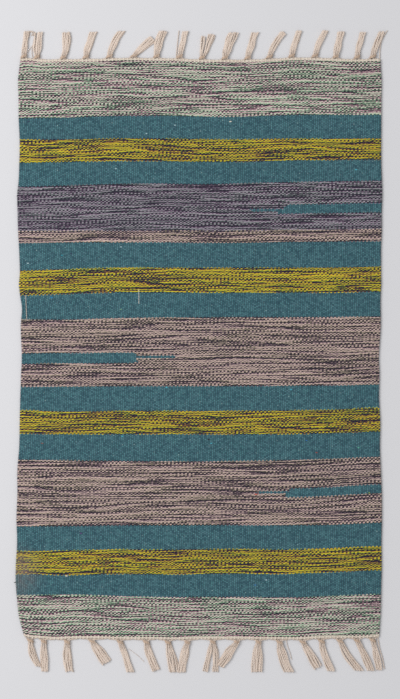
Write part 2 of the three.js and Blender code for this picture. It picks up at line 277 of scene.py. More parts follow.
def closing(faces, left, right, warps):
    """Faces that close the opening between front and back, from its left corner to its right."""
    edges = np.concatenate([faces[:, [0, 1]], faces[:, [1, 2]], faces[:, [2, 0]]])
    size = faces.max() + 1
    loose = ~np.isin(edges[:, 0] * size + edges[:, 1], edges[:, 1] * size + edges[:, 0])
    follows = dict(edges[loose].tolist())
    rims = []
    for at, goal in ((left, right), (right, left)):
        rim = [at]
        while at != goal:
            at = follows[at]
            rim.append(at)
        rims.append(rim)
    there, again = rims[0], rims[1][::-1]
    i = j = 0
    made = []
    while i + 1 < len(there) or j + 1 < len(again):
        onward = j + 1 == len(again)
        if not onward and i + 1 < len(there):
            onward = warps[there[i + 1]] <= warps[again[j + 1]]
        face = (there[i + 1], there[i], again[j]) if onward else (again[j], again[j + 1], there[i])
        if len(set(face)) == 3:
            made.append(face)
        i, j = (i + 1, j) if onward else (i, j + 1)
    return np.array(made)


def placed(name, data):
    """A new object, put in the scene."""
    thing = bpy.data.objects.new(name, data)
    bpy.context.scene.collection.objects.link(thing)
    return thing


def noted(mesh, label, kind, domain, values):
    """Stores values for the points or faces of a mesh, which the node trees read by this label."""
    field = {"FLOAT_VECTOR": "vector", "FLOAT_COLOR": "color"}.get(kind, "value")
    mesh.attributes.new(label, kind, domain).data.foreach_set(field, values)


# The map for baking: each side of a band is cut in half, and the four halves lie one above another
HALVES = 4
MAP_MARGIN = 0.004
HALF_MARGIN = 0.02
# Where the walls of a band's ends lie on it, at its very top
WALL_BACK = 0.997
WALL_FRONT = 0.999


def bake_map(corners, beads, wall, first, last):
    """The place of every face corner on the map. Corners hold warp, pick and side."""
    half = WARPS // 2
    # Beads at the middle reach from one half into the other
    span = half + 3.0
    right = np.repeat(beads[:, 0] > half, 3)
    behind = np.repeat(corners[:, 2].reshape(-1, 3).sum(1) < 0, 3)
    start = np.where(right, half - 1.0, -1.0)
    along = MAP_MARGIN + (1 - 2 * MAP_MARGIN) * (corners[:, 0] - start) / span
    down = (corners[:, 1] - first + 1) / (last - first + 2)
    up = (2 * behind + right + 1 - HALF_MARGIN - (1 - 2 * HALF_MARGIN) * down) / HALVES
    along = np.where(wall, (corners[:, 0] + 1) / (WARPS + 1), along)
    up = np.where(wall, np.where(corners[:, 2] < 0, WALL_BACK, WALL_FRONT), up)
    return np.stack([along, up], -1)


def laid_out(name, first, last, yarn_of):
    """A closed mesh of the cloth from one pick to just before another, its beads still flat. Points
    carry their warp, pick, side and crown, faces their bead and yarn, and there are two maps: the
    weave's own count of warps and picks, and the one for baking."""
    # Each row of the table is a point: warp, pick, side, crown, and its place in millimetres
    begins = {}
    table = []
    for line in range(first - 1, last + 1):
        ends = np.array([-1.0, WARPS]), np.zeros(2)
        row = []
        for side, (warps, crowns) in ((0, ends), (1, front_line(line)), (-1, back_line(line))):
            row.append(sum(len(part) for part in table))
            x, y = warp_places(line, warps)
            flat = np.full(len(warps), 1.0)
            table.append(np.stack([
                warps, flat * line, flat * side, crowns, x + SHIFT_X, y + SHIFT_Y,
                flat * (MIDDLE + side * HALF_THICK),
            ], -1))
        begins[line] = row
    table = np.concatenate(table)

    faces, beads = [], []
    for line in range(first - 1, last):
        start, under = begins[line], begins[line + 1]
        for some, theirs in (
            bead_fans(line, start[1], under[1]),
            bead_halves(line, start[2], under[2]),
        ):
            kept = (theirs[:, 1] >= first) & (theirs[:, 1] < last)
            faces.append(some[kept])
            beads.append(theirs[kept])
        if line >= first:
            some, theirs = edge_turns(line, start, under)
            faces.append(some)
            beads.append(np.minimum(theirs, [WARPS, last - 1]))
    faces = np.concatenate(faces)
    cloth = len(faces)
    for line, pick in ((first, first), (last, last - 1)):
        edge = begins[line][0]
        wall = closing(faces[:cloth], edge, edge + 1, table[:, 0])
        faces = np.concatenate([faces, wall])
        nearest = np.clip(np.round(table[wall[:, 0], 0]), 0, WARPS - 1)
        beads.append(np.stack([nearest, np.full(len(nearest), pick)], -1))
    beads = np.concatenate(beads)
    used, corner = np.unique(faces, return_inverse=True)
    corner = corner.reshape(-1)
    table = table[used]

    mesh = bpy.data.meshes.new(name)
    mesh.vertices.add(len(table))
    mesh.vertices.foreach_set("co", (table[:, 4:] * MM).ravel())
    mesh.loops.add(len(corner))
    mesh.loops.foreach_set("vertex_index", corner)
    mesh.polygons.add(len(faces))
    mesh.polygons.foreach_set("loop_start", np.arange(0, len(corner), 3))
    mesh.polygons.foreach_set("use_smooth", np.arange(len(faces)) < cloth)
    mesh.update(calc_edges=True)
    for column, label in enumerate(("warp", "pick", "side", "crown")):
        noted(mesh, label, "FLOAT", "POINT", table[:, column].astype(np.float32))
    spots = np.pad(beads, ((0, 0), (0, 1))).astype(np.float32)
    noted(mesh, "bead", "FLOAT_VECTOR", "FACE", spots.ravel())
    worn = np.array([yarn_of(pick, warp) for warp, pick in beads.tolist()], np.int32)
    noted(mesh, "yarn", "INT", "FACE", worn)

    corners = table[corner][:, :3]
    wall = np.arange(len(corner)) >= 3 * cloth
    baked = bake_map(corners, beads, wall, first, last)
    for label, places in (("Weave", corners[:, :2]), ("OFBake", baked)):
        mesh.uv_layers.new(name=label).data.foreach_set("uv", places.astype(np.float32).ravel())
    return placed(name, mesh)


def node(tree, kind, inputs=(), out=0, **settings):
    """Adds a node with its settings and gives its output. Inputs go by name or in order, and each
    is a value or the output that feeds it."""
    made = tree.nodes.new(kind)
    for name, value in settings.items():
        setattr(made, name, value)
    for label, value in (inputs.items() if isinstance(inputs, dict) else enumerate(inputs)):
        socket = socket_of(made.inputs, label)
        if isinstance(value, bpy.types.NodeSocket):
            tree.links.new(value, socket)
        else:
            socket.default_value = value
    return made.outputs if out is None else socket_of(made.outputs, out)


def socket_of(sockets, label):
    """The socket of this name that the node's settings leave in use, or the one of this number."""
    if isinstance(label, int):
        return sockets[label]
    return next(socket for socket in sockets if socket.name == label and socket.enabled)


MATH = "ShaderNodeMath"


def named_tree(name, kind, inputs, outputs):
    """An empty node tree with inputs and outputs of these names and kinds, and its own sockets."""
    tree = bpy.data.node_groups.new(name, kind)
    for way, sockets in (("INPUT", inputs), ("OUTPUT", outputs)):
        for label, carries in sockets.items():
            tree.interface.new_socket(label, in_out=way, socket_type="NodeSocket" + carries)
    return tree, tree.nodes.new("NodeGroupInput").outputs, tree.nodes.new("NodeGroupOutput").inputs


# How fast the height of the beads changes from one to the next, per warp and pick
BEAD_LUCK_SCALE = 0.45


def raised_weft_beads():
    """The tree that raises every bead, turns the wefts round the last warps and gives each bead the
    yarn of its pick."""
    tree, given, out = named_tree("raised_weft_beads", "GeometryNodeTree", {
        "Cloth": "Geometry", "Crown": "Float", "Groove": "Float", "Selvedge Loop": "Float",
        "Unevenness": "Float", "First Yarn": "Material", "Second Yarn": "Material",
        "Inlaid Yarn": "Material",
    }, {"Cloth": "Geometry"})
    warp, pick, side, crown, yarn = [
        node(tree, "GeometryNodeInputNamedAttribute", {"Name": label}, data_type=kind)
        for label, kind in (
            ("warp", "FLOAT"), ("pick", "FLOAT"), ("side", "FLOAT"), ("crown", "FLOAT"), ("yarn", "INT"))
    ]
    spot = node(tree, "ShaderNodeCombineXYZ", (warp, pick, side))
    luck = node(tree, "ShaderNodeTexNoise", {
        "Vector": spot, "Scale": BEAD_LUCK_SCALE, "Detail": 1.0})
    swing = node(tree, MATH, (luck, 2.0, -1.0), operation="MULTIPLY_ADD")
    uneven = node(tree, MATH, (swing, given["Unevenness"], 1.0), operation="MULTIPLY_ADD")
    high = node(tree, MATH, (given["Crown"], uneven), operation="MULTIPLY")
    rise = node(tree, MATH, (high, given["Groove"]), operation="SUBTRACT")
    lift = node(tree, MATH, (rise, crown, given["Groove"]), operation="MULTIPLY_ADD")
    up = node(tree, MATH, (lift, side), operation="MULTIPLY")
    # One loop round the last warp for every second pick
    beat = node(tree, MATH, (pick, 2.0), operation="FLOORED_MODULO")
    beat = node(tree, MATH, (beat, 2.0, -1.0), operation="MULTIPLY_ADD")
    right = node(tree, MATH, (warp, WARPS / 2), operation="GREATER_THAN")
    outward = node(tree, MATH, (right, 2.0, -1.0), operation="MULTIPLY_ADD")
    at_edge = node(tree, MATH, (side, 0.0, 0.1), operation="COMPARE")
    sideways = given["Selvedge Loop"]
    for way in (beat, at_edge, outward):
        sideways = node(tree, MATH, (sideways, way), operation="MULTIPLY")
    move = node(tree, "ShaderNodeCombineXYZ", {"X": sideways, "Z": up})
    shape = node(tree, "GeometryNodeSetPosition", {"Geometry": given["Cloth"], "Offset": move})
    shape = node(tree, "GeometryNodeRealizeInstances", {"Geometry": shape})
    for number, label in enumerate(("First Yarn", "Second Yarn", "Inlaid Yarn")):
        worn = node(tree, MATH, (yarn, float(number), 0.1), operation="COMPARE")
        shape = node(tree, "GeometryNodeSetMaterial", {
            "Geometry": shape, "Selection": worn, "Material": given[label]})
    tree.links.new(shape, out["Cloth"])
    return tree


def settled(source, tree, inputs):
    """Runs a tree on an object and keeps the outcome as the plain mesh of a new object."""
    modifier = source.modifiers.new(tree.name, "NODES")
    modifier.node_group = tree
    for item in tree.interface.items_tree:
        if item.in_out == "INPUT" and item.name in inputs:
            modifier[item.identifier] = inputs[item.name]
    evaluated = source.evaluated_get(bpy.context.evaluated_depsgraph_get())
    mesh = bpy.data.meshes.new_from_object(evaluated)
    name = source.name
    source.modifiers.remove(modifier)
    bpy.data.objects.remove(source)
    mesh.name = name
    return placed(name, mesh)


WEFT_BEADS = raised_weft_beads()
BEAD_SIZES = {
    "Crown": 0.62 * MM,
    "Groove": -0.1 * MM,
    "Selvedge Loop": 0.45 * MM,
    "Unevenness": 0.35,
}


def woven(name, stripes, yarns, inlay=None):
    """Weaves the stripes of one band in their yarns; an inlay is a further yarn and the rule for
    the beads that it takes over, by pick of the band and warp."""
    first = picks_above(stripes[0])
    last = picks_above(stripes[-1] + 1)
    kinds = list(yarns)
    kind_of = [kinds.index(STRIPES[k][0]) for k in stripes for _ in range(STRIPES[k][1])]

    def yarn_of(pick, warp):
        if inlay and inlay[1](pick - first, warp):
            return 2
        return kind_of[int(pick) - first]

    worn = list(yarns.values())
    band = settled(laid_out(name, first, last, yarn_of), WEFT_BEADS, {
        **BEAD_SIZES,
        "First Yarn": worn[0],
        "Second Yarn": worn[-1],
        "Inlaid Yarn": inlay[0] if inlay else worn[0],
    })
    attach(band, "root")
    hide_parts("woven_field")
    return band


# Heather bands at both ends. The weft is a marl of cream and charcoal cotton plied together, carded
# with a little green and pink, so the beads run in light and dark streaks and then alternate.
def colour(hex_code):
    """An sRGB hex colour as the linear colour that the nodes take."""
    parts = [int(hex_code[i:i + 2], 16) / 255 for i in (0, 2, 4)]
    return (*[p / 12.92 if p <= 0.04045 else ((p + 0.055) / 1.055) ** 2.4 for p in parts], 1.0)


def new_material(name):
    material = bpy.data.materials.new(name)
    material.use_nodes = True
    return material, material.node_tree


MIX = "ShaderNodeMix"
OF_COLOURS = {"out": "Result", "data_type": "RGBA"}


def weft_bead():
    """Shader group that says which bead of which pick shows, and where on it."""
    labels = ("Warp", "Pick", "Along", "Across", "Chance", "Crown")
    tree, _, out = named_tree("weft_bead", "ShaderNodeTree", {}, {label: "Float" for label in labels})
    bead = node(tree, "ShaderNodeAttribute", out="Vector", attribute_name="bead")
    warp, pick, _ = node(tree, "ShaderNodeSeparateXYZ", (bead,), out=None)
    weave = node(tree, "ShaderNodeUVMap", uv_map="Weave")
    across_warps, along_picks, _ = node(tree, "ShaderNodeSeparateXYZ", (weave,), out=None)
    along = node(tree, MATH, (across_warps, warp), operation="SUBTRACT")
    across = node(tree, MATH, (along_picks, pick), operation="SUBTRACT")
    chance = node(tree, "ShaderNodeTexWhiteNoise", {"Vector": bead}, noise_dimensions="2D")
    crown = node(tree, "ShaderNodeAttribute", out="Fac", attribute_name="crown")
    for label, output in zip(labels, (warp, pick, along, across, chance, crown)):
        tree.links.new(output, out[label])
    return tree


WEFT_BEAD = weft_bead()


def new_weft(name):
    """A new material for a weft, its node tree, and what that group says in it."""
    material, tree = new_material(name)
    return material, tree, node(tree, "ShaderNodeGroup", out=None, node_tree=WEFT_BEAD)


# Bundles of fibre about half a millimetre thick. The pairs are how far they vary a thing, from least
FIBRE_SCALE = 1700.0
FIBRE_SHADE = (0.3, 0.85)
FIBRE_ROUGHNESS = (0.16, 0.8)
FIBRE_HEIGHT = 0.6
RELIEF = {"Strength": 0.45, "Distance": 0.25 * MM}
# Painted shade: the height of a bead's side up to which its colour is darkened for its neighbours' shade
SHADED_UP_TO = 0.5
COTTON_SKIN = {"Sheen Weight": 0.12, "Sheen Roughness": 0.6, "Specular IOR Level": 0.25}
# Dust in the left selvedge near its lower end: its middle, how far it reaches, and how thick it is
DUST_AT = (-0.312, -0.366, 0.0)
DUST_REACH = (0.012, 0.062)
DUST_THICK = 0.58
DUST_SCALE = 110.0


def finished_cotton(material, tint, twist, crown=1.0, painted_gap_shade=0.6):
    """Ends a yarn's material: painted shade, darkening the colour where beads or plies meet down to the
    given share, loose fibres over the colour, and the ply grooves and fibres in the relief."""
    tree = material.node_tree
    place = node(tree, "ShaderNodeTexCoord", out="Object")
    fibre = node(tree, "ShaderNodeTexNoise", {"Vector": place, "Scale": FIBRE_SCALE, "Detail": 2.0})
    # Painted shade: a bead's colour darkens towards its edges, below SHADED_UP_TO of its crown, as if
    # shaded by its neighbours
    open_to_light = node(tree, "ShaderNodeMapRange", {
        "Value": crown, "From Max": SHADED_UP_TO, "To Min": painted_gap_shade}, interpolation_type="SMOOTHSTEP")
    shade = node(tree, MATH, (fibre, *FIBRE_SHADE), operation="MULTIPLY_ADD")
    shade = node(tree, MATH, (shade, open_to_light), operation="MULTIPLY")
    away = node(tree, "ShaderNodeVectorMath", (place, DUST_AT), "Value", operation="DISTANCE")
    close = node(tree, "ShaderNodeMapRange", {
        "Value": away, "From Min": DUST_REACH[0], "From Max": DUST_REACH[1],
        "To Min": DUST_THICK, "To Max": 0.0}, interpolation_type="SMOOTHSTEP")
    patchy = node(tree, "ShaderNodeTexNoise", {"Vector": place, "Scale": DUST_SCALE, "Detail": 2.0})
    dust = node(tree, MATH, (close, patchy), operation="MULTIPLY")
    tint = node(tree, MIX, {"Factor": dust, "A": tint, "B": colour("a08c84")}, **OF_COLOURS)
    # The colour under the fibres' tone and the painted shade between beads
    worn = node(tree, "ShaderNodeVectorMath", {0: tint, "Scale": shade}, operation="SCALE")
    height = node(tree, MATH, (fibre, FIBRE_HEIGHT, twist), operation="MULTIPLY_ADD")
    bump = node(tree, "ShaderNodeBump", {**RELIEF, "Height": height})
    rough = node(tree, MATH, (fibre, *FIBRE_ROUGHNESS), operation="MULTIPLY_ADD")
    skin = tree.nodes["Principled BSDF"].inputs
    for label, output in (("Base Color", worn), ("Normal", bump), ("Roughness", rough)):
        tree.links.new(output, skin[label])
    for label, value in COTTON_SKIN.items():
        skin[label].default_value = value


def woven_noise(tree, bead, over, seed=0.0):
    """Noise that changes over so many warps and picks of the cloth."""
    spot = node(tree, "ShaderNodeCombineXYZ", {
        "X": node(tree, MATH, (bead["Warp"], over[0]), operation="DIVIDE"),
        "Y": node(tree, MATH, (bead["Pick"], over[1]), operation="DIVIDE"),
        "Z": seed,
    })
    return node(tree, "ShaderNodeTexNoise", {"Vector": spot, "Scale": 1.0, "Detail": 1.0})


def wave(tree, turns, operation="COSINE"):
    """A cosine or sine of so many turns."""
    turned = node(tree, MATH, (turns, 2 * math.pi), operation="MULTIPLY")
    return node(tree, MATH, (turned,), operation=operation)


# In millimetres: between picks, between warps, and between the grooves along and across a weft
PICK_PITCH = 1.31
WARP_PITCH = 3.1
GROOVE_PITCH = 1.4
GROOVE_SLANT = 1.6
GROOVE_HEIGHT = 0.4


def ply_groove(tree, bead):
    """The slanting grooves between the plies of a weft."""
    slant = node(tree, MATH, (bead["Across"], PICK_PITCH / GROOVE_SLANT), operation="MULTIPLY")
    run = node(tree, MATH, (bead["Along"], WARP_PITCH / GROOVE_PITCH, slant), operation="MULTIPLY_ADD")
    return node(tree, MATH, (wave(tree, run), GROOVE_HEIGHT), operation="MULTIPLY")


# How a marl's twist turns, in turns: as the tension drifts, by a pick's own pace from warp to warp,
# from bead to bead by chance, and along and across a bead
DRIFT = 3.0
PACE = 0.03
CHANCE = 0.27
TURN_ALONG = 0.07
TURN_ACROSS = 0.35
# Over how many warps and picks one ply stays the thicker, and how softly it gives way to the other
THICKER_OVER = (110.0, 1.6)
THICKER_SEED = 5.0
SOFTNESS = 0.5


def marl_cotton(name, light, dark, leans, share, patches, steady, advance, painted_gap_shade, seed):
    """Two yarns plied as one weft. The twist falls nearly in step with the warps, so the beads of a
    pick stay light or dark for many warps, and it advances by part of a turn from pick to pick. Where
    the two plies meet, their carded fibres lean to one tint on one side and another on the other.
    The colours come in pairs, share is how far the light ply outdoes the dark one, patches how much
    that changes, and steady the warps and picks over which the tension drifts."""
    material, tree, bead = new_weft(name)
    drift = woven_noise(tree, bead, steady, seed)
    turn = node(tree, MATH, (bead["Pick"], advance), operation="MULTIPLY")
    turn = node(tree, MATH, (drift, DRIFT, turn), operation="MULTIPLY_ADD")
    pace = node(tree, "ShaderNodeTexWhiteNoise", {"W": bead["Pick"]}, noise_dimensions="1D")
    pace = node(tree, MATH, (pace, PACE, -PACE / 2), operation="MULTIPLY_ADD")
    for label, turns in (
        ("Warp", pace), ("Chance", CHANCE), ("Along", TURN_ALONG), ("Across", TURN_ACROSS),
    ):
        turn = node(tree, MATH, (bead[label], turns, turn), operation="MULTIPLY_ADD")
    # One ply is thicker for a long way, now the light one and now the dark one
    patch = woven_noise(tree, bead, THICKER_OVER, seed + THICKER_SEED)
    bias = node(tree, MATH, (patch, patches, share - patches / 2), operation="MULTIPLY_ADD")
    cover = node(tree, MATH, (wave(tree, turn), bias), operation="ADD")
    cover = node(tree, "ShaderNodeMapRange", {
        "Value": cover, "From Min": -SOFTNESS, "From Max": SOFTNESS}, interpolation_type="SMOOTHSTEP")
    side = node(tree, MATH, (wave(tree, turn, "SINE"), 0.5, 0.5), operation="MULTIPLY_ADD")
    darker, lighter, lean = [
        node(tree, MIX, {"Factor": by, "A": colour(one), "B": colour(other)}, **OF_COLOURS)
        for by, (one, other) in ((patch, dark), (patch, light), (side, leans))
    ]
    tint = node(tree, MIX, {"Factor": cover, "A": darker, "B": lighter}, **OF_COLOURS)
    tint = node(tree, MIX, {"Factor": 1.0, "A": tint, "B": lean}, blend_type="MULTIPLY", **OF_COLOURS)
    finished_cotton(material, tint, ply_groove(tree, bead), bead["Crown"], painted_gap_shade)
    return material


HEATHER_MARL = marl_cotton(
    "heather_marl_cotton",
    light=("fbf2ec", "eef2ec"), dark=("272539", "262837"), leans=("ffbeda", "c6ffd2"),
    share=-0.2, patches=1.8, steady=(40.0, 2.6), advance=0.26, painted_gap_shade=0.78, seed=1.0)
heather_top = woven("heather_band_top", [0], {"heather": HEATHER_MARL})
heather_bottom = woven("heather_band_bottom", [17], {"heather": HEATHER_MARL})


# Four teal groups, each with a yellow and charcoal marl stripe between two teal ones. The teal is a
# plain dyed cotton with pale neps, and its even beads show faint ribs along the warps. Each warp
# holds its beads up a little more or less than the next, all along the rug, and the light and shade
# this gives is painted into the colour
RIBS_OVER = (1 / 0.9, 50.0)
PAINTED_RIB_LIGHT = (0.1, 0.95)
# The dye took unevenly, in spots about 2 mm across
DYE_SCALE = 420.0
# Neps: knots of pale fibre about a millimetre across, one to every three square centimetres
NEP_SCALE = 55.0
NEP_EDGE = (0.03, 0.05)
TEAL_PAINTED_GAP_SHADE = 0.2


def teal_cotton():
    material, tree, bead = new_weft("teal_dyed_cotton")
    tint = node(tree, MIX, {
        "Factor": bead["Chance"], "A": colour("3a6373"), "B": colour("608e9a")}, **OF_COLOURS)
    # Painted light and shade: each warp's column of beads a little lighter or darker than the next
    rib = woven_noise(tree, bead, RIBS_OVER)
    painted_rib_light = node(tree, MATH, (rib, *PAINTED_RIB_LIGHT), operation="MULTIPLY_ADD")
    tint = node(tree, "ShaderNodeVectorMath", {0: tint, "Scale": painted_rib_light}, operation="SCALE")
    place = node(tree, "ShaderNodeTexCoord", out="Object")
    dye = node(tree, "ShaderNodeTexNoise", {"Vector": place, "Scale": DYE_SCALE, "Detail": 1.0})
    lean = node(tree, MIX, {
        "Factor": dye, "A": colour("ffeaf2"), "B": colour("d0fff2")}, **OF_COLOURS)
    tint = node(tree, MIX, {"Factor": 1.0, "A": tint, "B": lean}, blend_type="MULTIPLY", **OF_COLOURS)
    spread = {"Vector": place, "Scale": NEP_SCALE}
    away, which = [
        node(tree, "ShaderNodeTexVoronoi", spread, out, voronoi_dimensions="2D")
        for out in ("Distance", "Color")
    ]
    luck, _, _ = node(tree, "ShaderNodeSeparateColor", (which,), out=None)
    close = node(tree, "ShaderNodeMapRange", {
        "Value": away, "From Min": NEP_EDGE[0], "From Max": NEP_EDGE[1], "To Min": 1.0, "To Max": 0.0})
    nep = node(tree, MATH, (close, luck), operation="MULTIPLY")
    tint = node(tree, MIX, {"Factor": nep, "A": tint, "B": colour("a3c2c2")}, **OF_COLOURS)
    finished_cotton(material, tint, ply_groove(tree, bead), bead["Crown"], TEAL_PAINTED_GAP_SHADE)
    return material


TEAL = teal_cotton()
YELLOW_MARL = marl_cotton(
    "yellow_marl_cotton",
    light=("fff134", "ffe539"), dark=("1f143a", "271d42"), leans=("ffbce0", "c4ffc8"),
    share=-0.59, patches=1.3, steady=(34.0, 2.4), advance=0.27, painted_gap_shade=0.96, seed=2.0)
for number, top_stripe in enumerate((1, 6, 10, 14)):
    group = woven(
        f"teal_yellow_band_{number + 1}", [top_stripe, top_stripe + 1, top_stripe + 2],
        {"teal": TEAL, "yellow": YELLOW_MARL})


# The plum band: a dark marl that ends in a few picks of the mauve one. A tongue of teal is woven in
# from the right selvedge and stops in a step, its last part only three picks high.
PLUM_MARL = marl_cotton(
    "plum_marl_cotton",
    light=("c3bdce", "cbc2cd"), dark=("2b243a", "32293d"), leans=("ffd0f0", "d0ffda"),
    share=-0.64, patches=1.0, steady=(40.0, 3.4), advance=0.24, painted_gap_shade=0.7, seed=3.0)
MAUVE_MARL = marl_cotton(
    "mauve_marl_cotton",
    light=("ecd9ce", "e2cdc9"), dark=("251f31", "2c2535"), leans=("ffe6fc", "f2fad6"),
    share=-0.46, patches=1.2, steady=(60.0, 4.0), advance=0.2, painted_gap_shade=0.7, seed=4.0)


FROM_LEFT = -1
FROM_RIGHT = 1


def tongue(selvedge, parts):
    """The rule for the beads of a tongue. Each part of it has the place across the rug where it
    stops, how far that moves with every pick, how unevenly its picks turn back there, and its first
    pick of the band and the one after its last."""
    def taken_over(pick, warp):
        for stops, moves, spread, first, after in parts:
            turns_at = stops + moves * (pick - first) - (pick * 5 % 3) / 2 * spread
            last_warp = (turns_at + HALF_WIDTH) * (WARPS - 1) / (2 * HALF_WIDTH)
            if first <= pick < after and selvedge * (warp - last_warp) > 0:
                return True
        return False
    return taken_over


PLUM_TONGUE = tongue(FROM_RIGHT, [(146, -1.6, 4, 26, 37), (90, 0, 6, 31, 34)])
plum = woven("plum_band", [4, 5], {"plum": PLUM_MARL, "mauve": MAUVE_MARL}, (TEAL, PLUM_TONGUE))


# Two mauve bands of a beige and charcoal marl, each with its own tongue of teal: the upper from the
# left selvedge, the lower from the right.
UPPER_TONGUE = tongue(FROM_LEFT, [(-104, 0, 7, 43, 56), (-39, 0, 4, 47, 50)])
LOWER_TONGUE = tongue(FROM_RIGHT, [(146, -0.5, -4, 35, 46), (98, 0, 5, 38, 41)])
mauve_upper = woven("mauve_band_upper", [9], {"mauve": MAUVE_MARL}, (TEAL, UPPER_TONGUE))
mauve_lower = woven("mauve_band_lower", [13], {"mauve": MAUVE_MARL}, (TEAL, LOWER_TONGUE))


# Cream end strips: three picks of plain undyed cotton at each end of the rug. They are woven on the
# same warps as the cloth, and lock its last wefts before the tassels are tied.
def cream_cotton():
    material, tree, bead = new_weft("cream_cotton_weft")
    tint = node(tree, MIX, {
        "Factor": bead["Chance"], "A": colour("e6d6c4"), "B": colour("f4e8d8")}, **OF_COLOURS)
    finished_cotton(material, tint, ply_groove(tree, bead), bead["Crown"])
    return material


CREAM = cream_cotton()


def strip_edge(end, x):
    """Where the end strip stops and the warp ends come out."""
    return pick_line(-STRIP_PICKS if end == "top" else ALL_PICKS + STRIP_PICKS, x)


def end_strip(end):
    first = -STRIP_PICKS if end == "top" else ALL_PICKS
    strip = laid_out(f"end_strip_{end}", first, first + STRIP_PICKS, lambda pick, warp: 0)
    strip = settled(strip, WEFT_BEADS, {
        **BEAD_SIZES, "First Yarn": CREAM, "Second Yarn": CREAM, "Inlaid Yarn": CREAM})
    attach(strip, "root")
    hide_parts(f"fringe_{end}")
    return strip


strips = {end: end_strip(end) for end in ("top", "bottom")}


# Tassels: the twelve or so warp ends next to each other are drawn together, tied in one overhand
# knot against the strip, and lie on the floor as a loose bundle of plied cotton.
# Across the rug: the root, the tip, how far it bows and half its width at the tip. Along it: how far
# it reaches. Where they say so, how its end is cut, how far it parts in two, and how much the left
# part lags behind the other
TASSEL_COLUMNS = ("root", "tip", "reach", "bow", "fan", "cut", "split", "lag")
TASSEL_USUAL = ("level", 0, 0)
TASSELS = {
    "top": [
        (-291, -286.5, 44, 0, 4.2),
        (-269.5, -265.5, 44, -1, 6.8),
        (-226, -221.4, 44, 3, 5.8),
        (-188.5, -175, 44, -1.4, 5.2),
        (-149.5, -130, 44, -2.4, 4.8),
        (-109, -78, 31, -1, 6.1, "square"),
        (-71.7, -61.6, 44, -2, 6.1),
        (-33.5, -24, 44, 0, 4.2),
        (4, 14.5, 42, 0, 6.7, "square", 2.8, 7),
        (41.6, 55.8, 44, -1, 6.4),
        (79.2, 91.2, 44, 0, 4.5),
        (115, 138.6, 43, -2, 4.4, "square"),
        (152, 165.2, 44, -1, 4.5),
        (190.3, 207.5, 44, -1.2, 4.6),
        (224.8, 234, 44, 0, 4.8),
        (260, 270.7, 44, -1, 3.9),
        (286, 300.5, 44, -1, 4.6),
    ],
    "bottom": [
        (-280.2, -265.8, 46, -3.5, 4.8, "level", 0.8),
        (-258, -255.5, 52, -1, 6.3),
        (-219.5, -215.5, 52, -1.6, 6.6),
        (-178, -154, 38, -0.6, 7.5, "square"),
        (-131.8, -115, 52, 0.6, 4.8),
        (-88.5, -72, 49, -2, 6.6, "square"),
        (-52.5, -42.5, 52, 0, 7.3),
        (-20.5, -30.5, 52, -1, 6.1),
        (21.5, 17.5, 52, 1, 7.5, "level", 4),
        (61, 33.8, 43, 0, 7.1, "square"),
        (97, 94.5, 52, -1, 7.3),
        (132, 148, 52, -2.5, 6.7),
        (170.5, 195.5, 45, 0, 6.7, "square"),
        (201.3, 217, 52, -2, 5.4),
        (231.8, 263, 52, -2, 6.1),
        (260.3, 283, 52, 1, 5.2),
        (286, 297, 52, 1, 4.8),
    ],
}
# Yarns that left their tassel: places across and out from the strip's outer edge, and the radius
STRAYS = {
    "top": [
        ([(-276.5, -1), (-278, 12), (-276, 24), (-273.5, 38)], 0.6),
        ([(-39.5, -1), (-38, 15), (-36.5, 30), (-34.5, 46)], 0.8),
        ([(297.5, -1), (298, 14), (301, 30), (310, 46)], 0.9),
        ([(-284.8, 9), (-280.5, 16), (-276.5, 22), (-273.2, 27)], 0.5),
        ([(-284, 36), (-283.2, 43), (-279, 44.4), (-274.6, 43), (-274.9, 38.7), (-279, 37.4)], 0.9),
        ([(-283, 33), (-281.5, 42), (-278.5, 43), (-276.5, 41), (-277.5, 38.6)], 0.7),
    ],
    "bottom": [
        ([(143, -1), (145, 9), (149, 20), (152, 32)], 0.6),
        ([(294.5, -1), (297, 16), (302, 34), (305.5, 52)], 0.9),
        ([(-118, 14), (-110, 20), (-101, 27), (-92, 36)], 0.35),
    ],
}
# How far the knot's middle lies out from the strip, and how far past their reach the tips are cut
KNOT_OUT = 4.6
TIP_PAST = 1.8
# Half a yarn's width where it leaves the strip, and where it is loose
END_YARN = 0.75
TASSEL_YARN = 1.3
# A yarn's way to its knot, each place as how far out it lies and how high: inside the strip, over
# the strip's edge, and before the knot, where the yarns lie up to so much higher still
FROM_STRIP = (-1.6, 1.9)
OVER_EDGE = (0.5, 1.7)
BEFORE_KNOT = (-3.0, 1.4, 1.4)
# The share of its way to the root that a yarn has made at the strip's edge, and before the knot half
# the bundle's width and how far it lies to the side
LEANED = 0.08
BEFORE_HALF = 6.6
BEFORE_ASIDE = -0.9
# Half the bundle's width at the knot, and the share of its length by which it has opened out
ROOT_HALF = 4.3
OPENS_BY = 0.4
# A bundle's layers: heights of the lowest yarns and of the highest over them, at the knot in three
# layers, and settled on the floor in two
AT_KNOT = (1.3, 3.0)
ON_FLOOR = (1.05, 1.5)
# The least and the most by which a yarn is longer, wanders, waves and shifts to the side
LONGER = (-1.0, 1.0)
WANDER = (0.3, 0.9)
WAVES = (0.8, 1.8)
SHIFT = (-0.25, 0.25)
# Places along a yarn that shape it, and how finely it and the knot's loops are laid
YARN_AT = (0.0, 0.12, 0.28, 0.44, 0.6, 0.76, 0.9, 1.0)
YARN_POINTS = 34
LOOP_POINTS = 22
# The knot: three turns of the bundle round itself, slanting down to the right
KNOT = {"turns": 3, "pitch": 1.5, "slant": 1.7, "level": 2.95, "half_high": 1.95, "yarn": 0.95}
# A yarn's outline is two plies lying side by side, turned along it by the tree below
PLY_RESOLUTION = 8
PLY_GROOVE = 0.32
TONE_SEED = 7


